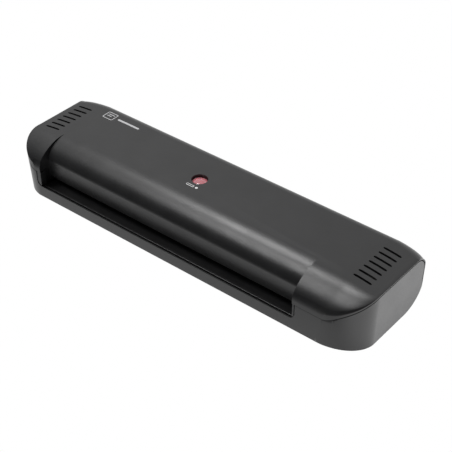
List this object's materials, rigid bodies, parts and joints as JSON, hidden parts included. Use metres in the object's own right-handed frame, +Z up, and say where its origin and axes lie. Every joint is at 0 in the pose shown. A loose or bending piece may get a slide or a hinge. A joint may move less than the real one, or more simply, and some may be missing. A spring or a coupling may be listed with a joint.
{
  "type": "pouch laminator",
  "caption": "Desktop pouch laminator: flat closed casing, front entry slot and tray, rear exit slot, sprung silicone roller pair driven through a gear train.",
  "frame": {"origin": "middle of the footprint, on the plane the rubber feet stand on", "axes": "+X to the right along the long side, +Y from the entry slot to the exit slot, +Z up"},
  "size_m": [0.3274, 0.0878, 0.0459],
  "materials": {
    "casing": "fine-grained satin black",
    "tray": "matt black",
    "lens": "translucent pale red",
    "rubber": "matt",
    "screw_steel": "zinc plated",
    "zinc_steel": "zinc plated sheet",
    "bronze": "sintered bronze",
    "heating_aluminium": "plain",
    "mica": "mica and foil",
    "phenolic": "moulded phenolic",
    "ceramic": "ceramic",
    "motor_steel": "plated can",
    "shaft_steel": "ground",
    "silicone": "red silicone rubber",
    "acetal": "moulded acetal",
    "spring_steel": "spring wire",
    "board": "solder mask",
    "capacitor_sleeve": "shrink sleeve",
    "black_part": "moulded",
    "terminal_green": "moulded",
    "led_red": "tinted epoxy",
    "switch_plastic": "black moulded",
    "lead_red": "insulated wire",
    "lead_heat": "glass-fibre sleeved wire",
    "lead_black": "insulated wire"
  },
  "bodies": {
    "chassis": {"top_cover": "casing", "base_casing": "casing", "entry_tray": "tray", "ready_lens": "lens", "foot_front_left": "rubber", "foot_front_right": "rubber", "foot_rear_left": "rubber", "foot_rear_right": "rubber", "cover_screw_front_left": "screw_steel", "cover_screw_front_right": "screw_steel", "cover_screw_rear_left": "screw_steel", "cover_screw_rear_right": "screw_steel", "left_side_frame": "zinc_steel", "right_side_frame": "zinc_steel", "front_tie_bar": "zinc_steel", "rear_tie_bar": "zinc_steel", "left_lower_bush": "bronze", "right_lower_bush": "bronze", "lower_heating_plate": "heating_aluminium", "lower_heating_element": "mica", "upper_heating_plate": "heating_aluminium", "upper_heating_element": "mica", "thermostat": "phenolic", "thermal_fuse": "ceramic", "heat_shield": "heating_aluminium", "upper_feed_guide": "tray", "exit_guide": "tray", "gear_motor": "motor_steel", "motor_bracket": "zinc_steel", "idler_pin": "shaft_steel", "control_board": "board", "capacitor": "capacitor_sleeve", "relay": "black_part", "terminal_block": "terminal_green", "indicator_board": "board", "indicator_led": "led_red", "switch_housing": "switch_plastic", "mains_inlet": "switch_plastic", "motor_lead": "lead_red", "heater_lead": "lead_heat", "indicator_lead": "lead_black"},
    "lower_roller": {"lower_roller_shaft": "shaft_steel", "lower_roller_sleeve": "silicone", "lower_roller_gear": "acetal"},
    "upper_carriage": {"left_bearing_block": "acetal", "right_bearing_block": "acetal", "left_pressure_spring": "spring_steel", "right_pressure_spring": "spring_steel"},
    "upper_roller": {"upper_roller_shaft": "shaft_steel", "upper_roller_sleeve": "silicone", "upper_roller_gear": "acetal"},
    "idler": {"idler_gear": "acetal"},
    "motor_output": {"motor_pinion": "bronze", "motor_output_shaft": "shaft_steel"},
    "switch_rocker": {"switch_rocker": "switch_plastic"}
  },
  "joints": [
    {"name": "lower_roller_spin", "type": "hinge", "parent": "chassis", "child": "lower_roller", "pos_m": [0, 0.014, 0.01065], "axis": [1, 0, 0], "continuous": true},
    {"name": "upper_carriage_lift", "type": "slide", "parent": "chassis", "child": "upper_carriage", "axis": [0, 0, 1], "range_m": [0, 0.001], "stiffness_N_per_m": 3000, "springref_m": -0.002, "deforming": ["left_pressure_spring", "right_pressure_spring"]},
    {"name": "upper_roller_spin", "type": "hinge", "parent": "upper_carriage", "child": "upper_roller", "pos_m": [0, 0.014, 0.02195], "axis": [1, 0, 0], "continuous": true},
    {"name": "idler_spin", "type": "hinge", "parent": "chassis", "child": "idler", "pos_m": [0.1185, 0.00093, 0.0124], "axis": [1, 0, 0], "continuous": true},
    {"name": "motor_output_spin", "type": "hinge", "parent": "chassis", "child": "motor_output", "pos_m": [0.1185, -0.00759, 0.02092], "axis": [1, 0, 0], "continuous": true},
    {"name": "switch_rock", "type": "hinge", "parent": "chassis", "child": "switch_rocker", "pos_m": [0.1415, 0.039, 0.028], "axis": [1, 0, 0], "range_deg": [0, 18]}
  ],
  "couplings": [
    {"joint": "upper_roller_spin", "follows": "lower_roller_spin", "ratio": -1},
    {"joint": "idler_spin", "follows": "lower_roller_spin", "ratio": -0.75},
    {"joint": "motor_output_spin", "follows": "lower_roller_spin", "ratio": 1.25}
  ]
}
